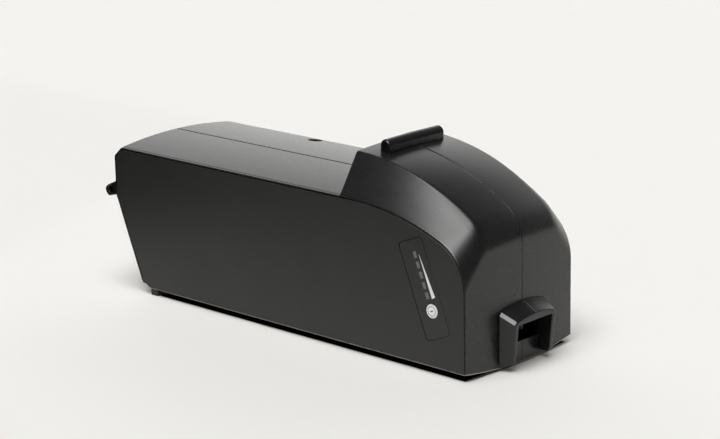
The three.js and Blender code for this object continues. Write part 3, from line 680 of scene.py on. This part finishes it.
def make_screws():
    for node in SCREWS:
        low, high = box_mm(node)
        x, z = middle_xz(node)
        profile = [(low[1] + y, radius) for y, radius in SCREW_TIP]
        profile += [(high[1] + y, radius) for y, radius in SCREW_HEAD]
        screw = turned("screw_" + node[-1], "y", (x, z), profile)
        depth = (high[1] - CROSS["depth"], high[1] + CUT_PAST)
        slots = ((CROSS["long"], CROSS["short"]), (CROSS["short"], CROSS["long"]))
        carve(screw, *(block("cross", (x - a, x + a), depth, (z - b, z + b)) for a, b in slots))
        finish_piece(screw, STEEL, nodes=[node])


def make_bar():
    finish_piece(skin("bar", bar_loops()), BAR, nodes=["hook_bar"], sharp=40)
    x0, x1 = BAR_X - BAR_STEM["half_x"], BAR_X + BAR_STEM["half_x"]
    z0, z1 = BAR_LOW[2], BAR_Z - BAR_RADIUS
    outline = np.array([(x0, z0), (x1, z0), (x1, z1), (x0, z1)]), np.full(4, BAR_STEM["round"])
    levels = edge_levels(-BAR_STEM["half_y"], BAR_STEM["half_y"], BAR_STEM["round"], BAR_STEM["round"])
    finish_piece(prism_xz("bar_stem", outline, levels), BAR)


# ---------- shroud ----------

SHROUD_ROOT = {"half": 19.6, "foot": 19.8, "eaves": 33.2, "ridge": 35.9, "inner": 15.0, "ceiling": 27.4}
SHROUD_RIM = {"half": 17.3, "foot": 16.5, "eaves": 28.7, "ridge": 31.0, "inner": 14.2, "ceiling": 26.4}
LEG_BOTTOM = (3.6, 6.6)  # at the root and at the rim
LEG_CURL_FROM = 0.42  # where along the hood its legs start to curl up
SHROUD_LEAN = 2.6  # the rim's lower end is this much further back
SHROUD_EAVES = {"in": 1.6, "down": 1.8}  # the bevel between the roof and the sides
SHROUD_OUTER_RADII = [1.0, 0.5, 0.4]
SHROUD_INNER_RADII = [0.8, 0.5, 0.5, 0.8]
SHROUD_STATIONS = [0, 0.15, 0.3, 0.42, 0.52, 0.62, 0.7, 0.78, 0.85, 0.9]
SHROUD_EDGE = 0.7
SHROUD_BACK, SHROUD_TIP = (corner[0] for corner in box_mm("socket_shroud"))

# The raised parting line on the hood's roof: half widths, and heights below and above the roof.
LINE_FOOT, LINE_TOP = (0.22, 0.1), (0.1, 0.07)


def shroud_size(key, along):
    return SHROUD_ROOT[key] + (SHROUD_RIM[key] - SHROUD_ROOT[key]) * along


def shroud_outline(along):
    """The hood's section in Y and Z: a crowned roof on two legs, open below."""
    half, foot, eaves, ridge, inner, ceiling = (shroud_size(key, along) for key in SHROUD_ROOT)
    curl = max(0.0, (along - LEG_CURL_FROM) / (1 - LEG_CURL_FROM))
    bottom = LEG_BOTTOM[0] + (LEG_BOTTOM[1] - LEG_BOTTOM[0]) * (1 - math.sqrt(1 - min(curl, 0.999) ** 2))
    reach, shoulder = half - SHROUD_EAVES["in"], eaves - SHROUD_EAVES["down"]
    arch = [(t * reach, ridge + (eaves - ridge) * t * t) for t in np.linspace(1, -1, 17)]
    points = [(foot, bottom), (half, shoulder), *arch, (-half, shoulder), (-foot, bottom)]
    points += [(-inner, bottom), (-inner, ceiling), (inner, ceiling), (inner, bottom)]
    roof = [0] * (len(arch) - 2)
    radii = [*SHROUD_OUTER_RADII, *roof, *SHROUD_OUTER_RADII[::-1], *SHROUD_INNER_RADII]
    return np.array(points, float), np.array(radii)


def shroud_x(along, z):
    height = (z - LEG_BOTTOM[1]) / (SHROUD_RIM["ridge"] - LEG_BOTTOM[1])
    front = SHROUD_TIP - SHROUD_LEAN * (1 - height)
    return SHROUD_BACK + (front - SHROUD_BACK) * along


def make_shroud():
    edge = SHROUD_EDGE / (SHROUD_TIP - SHROUD_BACK)
    stations = [(along, 0.0) for along in SHROUD_STATIONS]
    stations += [(1 - edge * (1 - math.sin(a)), SHROUD_EDGE * (1 - math.cos(a))) for a in quarter(4)]
    rings = []
    for along, d in stations:
        ring = loop(shroud_outline(along), d)
        rings.append(np.column_stack([shroud_x(along, ring[:, 1]), ring]))
    finish_piece(skin("shroud", rings), HOOD, nodes=["socket_shroud"])
    line = []
    for along in np.linspace(0.03, 0.97, 8):
        ridge = shroud_size("ridge", along)
        x = shroud_x(along, ridge)
        (foot, below), (top, above) = LINE_FOOT, LINE_TOP
        line.append(np.array([(x, -foot, ridge - below), (x, foot, ridge - below), (x, top, ridge + above),
                              (x, -top, ridge + above)]))
    finish_piece(skin("shroud_parting", line), HOOD)


# ---------- lugs, feet, glides ----------

# The lug in side view, from the rear face and the ground.
LUG_OUTLINE = [(-0.02, 66.2), (-8.4, 62.5), (-10.2, 61.1), (-10.9, 59.6), (-10.3, 57.4), (-8.2, 55.4),
               (-0.02, 57.6)]
LUG_RADII = [0.3, 2, 1, 1, 1, 1.5, 0.3]
LUG_ROUND = 0.6
EYE_AT = (REAR_X - 5.7, 60)
EYE_MOUTH = [(-CUT_PAST, 3.4), (0, 3.0), (0.4, 2.4)]  # place in from the lug's face, and radius
RUNNER_ROUND = 0.4
RUNNER_RADII = [RUNNER_ROUND, RUNNER_ROUND, 0.1, 0.1]
RUNNER_CLEAR = 0.1


def make_rear():
    for word, side in (("left", -1), ("right", 1)):
        low, high = box_mm("rear_lug_" + word)
        outline = np.array([(REAR_X + x, z) for x, z in LUG_OUTLINE]), np.array(LUG_RADII)
        lug = prism_xz("lug_" + word, outline, edge_levels(low[1], high[1], LUG_ROUND, LUG_ROUND))
        mouths = [(low[1] + y, radius) for y, radius in EYE_MOUTH]
        mouths += [(high[1] - y, radius) for y, radius in EYE_MOUTH[::-1]]
        carve(lug, turned("eye", "y", EYE_AT, mouths))
        finish_piece(lug, BAR, nodes=["rear_lug_" + word])
        for kind in ("glide_strip_", "rear_foot_"):
            make_runner(kind + word, side)


def make_runner(node, side):
    """A strip or foot between the ground and the crowned base."""
    low, high = box_mm(node)
    inner, outer = sorted((abs(low[1]), abs(high[1])))
    inner_z, outer_z = base_z(inner) - RUNNER_CLEAR, base_z(outer) - RUNNER_CLEAR
    corners = np.array([(inner, 0), (outer, 0), (outer, outer_z), (inner, inner_z)], float)
    rings = []
    for x, d in edge_levels(low[0], high[0], RUNNER_ROUND, RUNNER_ROUND, 3):
        ring = loop((corners, np.array(RUNNER_RADII)), d)
        rings.append(np.column_stack([np.full(len(ring), x), ring[:, 0] * side, ring[:, 1]]))
    finish_piece(skin(node + "_pad", rings), RUBBER, nodes=[node])


# ---------- indicator ----------

# The printed wedge's corners, across and down the label from its centre.
WEDGE_ACROSS = np.array([3.45, 6.0, 3.6, 3.45])
WEDGE_DOWN = np.array([6.2, 5.8, -18.5, -18.5])
INK_PROUD, INK_DEEP = 0.04, 0.1
FILM_ROUND = (0.15, 0.05)
WINDOW_ROUND = (0.2, 0.1)
WINDOW_CORNER = 0.4


def make_indicator():
    front, back = LABEL_LOW[1], LABEL_HIGH[1]
    outline = tilted(rectangle(*LABEL_SIZE, LABEL_CORNER), LABEL_CENTRE)
    film = prism_xz("label", outline, edge_levels(front, back, *FILM_ROUND, 2))
    through = (front - CUT_PAST, back + CUT_PAST)
    carve(film, bore(BUTTON_AT, *through, DISC_RADIUS + GAP), *light_cutters(*through))
    finish_piece(film, LABEL, nodes=["indicator_overlay"])
    wedge = on_label(WEDGE_ACROSS, WEDGE_DOWN)
    printed = skin("charge_wedge", [xz_at(wedge, front - INK_PROUD), xz_at(wedge, front + INK_DEEP)])
    finish_piece(printed, PRINT)
    for number, node in enumerate(LIGHTS, 1):
        low, high = box_mm(node)
        outline = tilted(rectangle(*LIGHT_SIZE, WINDOW_CORNER), middle_xz(node))
        window = prism_xz(f"window_{number}", outline, edge_levels(low[1], high[1], *WINDOW_ROUND, 3))
        finish_piece(window, WINDOW, nodes=[node])


# The button's cap, dished in the middle, as (place behind the face, radius); the rim's radii are
# from the cap's edge.
CAP_DISH = [(0.12, 0.4), (0.1, 1.6)]
CAP_RIM = [(0.06, -1.2), (0, -0.75), (0.04, -0.35), (0.2, -0.1), (0.45, 0), (1.4, 0), (1.6, -0.2)]
CAP_BACK = 1.61
STEM_RADIUS, STEM_TIP_RADIUS, STEM_BEVEL = 2.4, 2.1, 0.3
BUTTON_SIDES = 64
RING_SHARE, RING_HALF = 0.66, 0.2
PRINT_FACE = 0.03
RING_DEEP, MARK_DEEP = 0.15, 0.2
MARK_SIZE = (1.9, 0.6, 0.15)  # length, width, corner


def make_button():
    face, tip = BUTTON_LOW[1], BUTTON_HIGH[1]
    profile = [(face + y, radius) for y, radius in CAP_DISH]
    profile += [(face + y, DISC_RADIUS + more) for y, more in CAP_RIM]
    profile += [(face + CAP_BACK, STEM_RADIUS), (tip - STEM_BEVEL, STEM_RADIUS), (tip, STEM_TIP_RADIUS)]
    cap = turned("button", "y", BUTTON_AT, profile, BUTTON_SIDES)
    finish_piece(cap, BUTTON, "button", ["push_button"])
    inner, outer = DISC_RADIUS * RING_SHARE - RING_HALF, DISC_RADIUS * RING_SHARE + RING_HALF
    front, back = face + PRINT_FACE, face + RING_DEEP
    profile = [(front, inner), (front, outer), (back, outer), (back, inner)]
    ring = turned("button_ring", "y", BUTTON_AT, profile, BUTTON_SIDES, capped=False)
    finish_piece(ring, GREY_PRINT, "button")
    outline = tilted(rectangle(*MARK_SIZE), BUTTON_AT)
    mark = prism_xz("button_mark", outline, [(front, 0), (face + MARK_DEEP, 0)])
    finish_piece(mark, DARK_PRINT, "button")


# ---------- the CAD nodes that stay ----------

# How a node's name starts, and its finish.
KEPT = {
    "cell_row_": SLEEVE,
    "lower_cell": HOLDER,
    "upper_cell": HOLDER,
    "top_strip": NICKEL,
    "bottom_strip": NICKEL,
    "lower_insulator": RESIN,
    "upper_insulator": RESIN,
    "base_pad": RUBBER,
    "top_pad": RUBBER,
    "bms_board": RESIN,
    "bms_heatsink": STEEL,
    "fuse": FUSE,
    "socket_block": HOLDER,
    "positive_contact": NICKEL,
    "negative_contact": NICKEL,
    "positive_lead": RED_WIRE,
    "negative_lead": RUBBER,
    "indicator_board": RESIN,
    "tact_switch": HOLDER,
}


def dress_kept_nodes():
    for name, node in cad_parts.items():
        for start, material in KEPT.items():
            if name.startswith(start):
                node.data.materials.clear()
                node.data.materials.append(material)


# ---------- studio, in metres ----------

CAMERA_AT = (0.85962, -0.89244, 0.39692)
AZIMUTH, ELEVATION, ROLL = (math.radians(a) for a in (43.23, 15.38, -1.13))
LENS = 111.594
SENSOR = 36

KEY = {"way": (0.14, -0.7, 0.66), "aim": (0, 0, 0.05), "distance": 1.3, "size": (0.9, 0.46), "power": 16}
FLOOR_RADIUS = 6
FLOOR_Z, SHADE_Z, FLAG_Z = -0.00005, 0.0001, 0.0005  # thin gaps, so that no two sheets lie in one plane
FLAG_OUTLINE = [(-3, -3), (6, -3), (6, 4), (0.9, 4), (0.62, -0.27), (0.1, -0.27), (-0.2, -0.17), (-0.4, 0.3),
                (-3, 0.3)]
# Where the dark sheet of painted contact shadow lies under the pack.
SHADE_X = ((REAR_X + 31) * MM, (NOSE_X - 2) * MM)
SHADE_HALF = 43 * MM
LIT_COLOUR = (1.0, 0.995, 0.985, 1)
BACKDROP = (0.87, 0.865, 0.85, 1)


def make_camera():
    data = bpy.data.cameras.new("camera")
    data.lens = LENS
    data.sensor_width = SENSOR
    data.clip_start, data.clip_end = 0.05, 50
    camera = bpy.data.objects.new("camera", data)
    bpy.context.scene.collection.objects.link(camera)
    back = Vector((math.sin(AZIMUTH) * math.cos(ELEVATION), -math.cos(AZIMUTH) * math.cos(ELEVATION),
                   math.sin(ELEVATION)))
    level = Vector((math.cos(AZIMUTH), math.sin(AZIMUTH), 0))
    above = back.cross(level)
    right = level * math.cos(ROLL) + above * math.sin(ROLL)
    up = above * math.cos(ROLL) - level * math.sin(ROLL)
    turn = Matrix((right, up, back)).transposed().to_4x4()
    camera.matrix_world = Matrix.Translation(CAMERA_AT) @ turn
    bpy.context.scene.camera = camera


def make_key():
    """A large soft light high on the near side, which only shows as a sheen."""
    data = bpy.data.lights.new("key", "AREA")
    data.shape = "RECTANGLE"
    data.size, data.size_y = KEY["size"]
    data.energy = KEY["power"]
    light = bpy.data.objects.new("key", data)
    bpy.context.scene.collection.objects.link(light)
    way = Vector(KEY["way"]).normalized()
    light.location = Vector(KEY["aim"]) + way * KEY["distance"]
    light.rotation_mode = "QUATERNION"
    light.rotation_quaternion = way.to_track_quat("Z", "Y")
    light.visible_diffuse = False


def flat_sheet(name, outline, height, colour, specular=0.0, roughness=0.5):
    """A level sheet of the stage, with a plain finish."""
    mesh = bpy.data.meshes.new(name)
    mesh.from_pydata([(x, y, 0) for x, y in outline], [], [tuple(range(len(outline)))])
    sheet = bpy.data.objects.new(name, mesh)
    bpy.context.scene.collection.objects.link(sheet)
    sheet.location.z = height
    material = bpy.data.materials.new(name)
    shader = nodes_of(material)[1]
    shader.inputs["Base Color"].default_value = (*colour, 1)
    shader.inputs["Roughness"].default_value = roughness
    shader.inputs["Specular IOR Level"].default_value = specular
    mesh.materials.append(material)
    return sheet


def make_floor():
    angles = np.linspace(0, 2 * math.pi, 96, endpoint=False)
    circle = [(FLOOR_RADIUS * math.cos(a), FLOOR_RADIUS * math.sin(a)) for a in angles]
    flat_sheet("floor", circle, FLOOR_Z, (0.88, 0.872, 0.848), specular=0.15, roughness=0.7)


def make_flag():
    """A black card low in front, which only reflections show: it shades the upper part of the near side."""
    flag = flat_sheet("flag", FLAG_OUTLINE, FLAG_Z, (0.005, 0.005, 0.005))
    flag.visible_camera = flag.visible_diffuse = flag.visible_shadow = False


def make_painted_shadow():
    """A dark sheet on the floor under the pack, inside its outline: a painted contact shadow, for the dark
    gap below its edges.
    """
    (rear, front), half = SHADE_X, SHADE_HALF
    outline = [(rear, -half), (front, -half), (front, half), (rear, half)]
    flat_sheet("shade", outline, SHADE_Z, (0.012, 0.012, 0.011))


def falling(tree, value, start, end, high, low):
    """Goes smoothly from high to low as the value goes from start to end."""
    node = tree.nodes.new("ShaderNodeMapRange")
    node.interpolation_type = "SMOOTHSTEP"
    settings = {"From Min": start, "From Max": end, "To Min": high, "To Max": low}
    for key, number in settings.items():
        node.inputs[key].default_value = number
    tree.links.new(value, node.inputs["Value"])
    return node.outputs["Result"]


def toward(tree, place, direction):
    """How far a point of the sky lies in a direction: one straight ahead, nought at right angles."""
    node = tree.nodes.new("ShaderNodeVectorMath")
    node.operation = "DOT_PRODUCT"
    node.inputs[1].default_value = direction
    tree.links.new(place, node.inputs[0])
    return node.outputs["Value"]


def make_world():
    """A studio: a white sweep behind the pack, a broad soft light overhead, dark elsewhere."""
    world = bpy.data.worlds.new("studio")
    bpy.context.scene.world = world
    world.use_nodes = True
    tree = world.node_tree
    tree.nodes.clear()
    place = tree.nodes.new("ShaderNodeTexCoord").outputs["Generated"]
    low = falling(tree, toward(tree, place, (0, 0, 1)), 0.46, 0.72, 1.36, 0.1)
    behind = falling(tree, toward(tree, place, (-0.55, 0.83, 0)), 0.36, 0.72, 0.08, 1.0)
    overhead = falling(tree, toward(tree, place, (0.1, -0.3, 0.949)), 0.88, 0.965, 0.0, 6.0)
    level = combined(tree, "ADD", combined(tree, "MULTIPLY", low, behind), overhead)
    lit = tree.nodes.new("ShaderNodeBackground")
    lit.inputs["Color"].default_value = LIT_COLOUR
    tree.links.new(level, lit.inputs["Strength"])
    seen = tree.nodes.new("ShaderNodeBackground")
    seen.inputs["Color"].default_value = BACKDROP
    mix = tree.nodes.new("ShaderNodeMixShader")
    tree.links.new(tree.nodes.new("ShaderNodeLightPath").outputs["Is Camera Ray"], mix.inputs[0])
    tree.links.new(lit.outputs[0], mix.inputs[1])
    tree.links.new(seen.outputs[0], mix.inputs[2])
    output = tree.nodes.new("ShaderNodeOutputWorld")
    tree.links.new(mix.outputs[0], output.inputs["Surface"])


def make_studio():
    make_camera()
    make_floor()
    make_world()
    make_key()
    make_flag()
    make_painted_shadow()
    bpy.context.scene.view_settings.view_transform = "Standard"


# ---------- the pack ----------

make_studio()
make_shells()
make_panels()
make_screws()
make_bar()
make_shroud()
make_rear()
make_indicator()
make_button()
dress_kept_nodes()

bpy.context.view_layer.update()
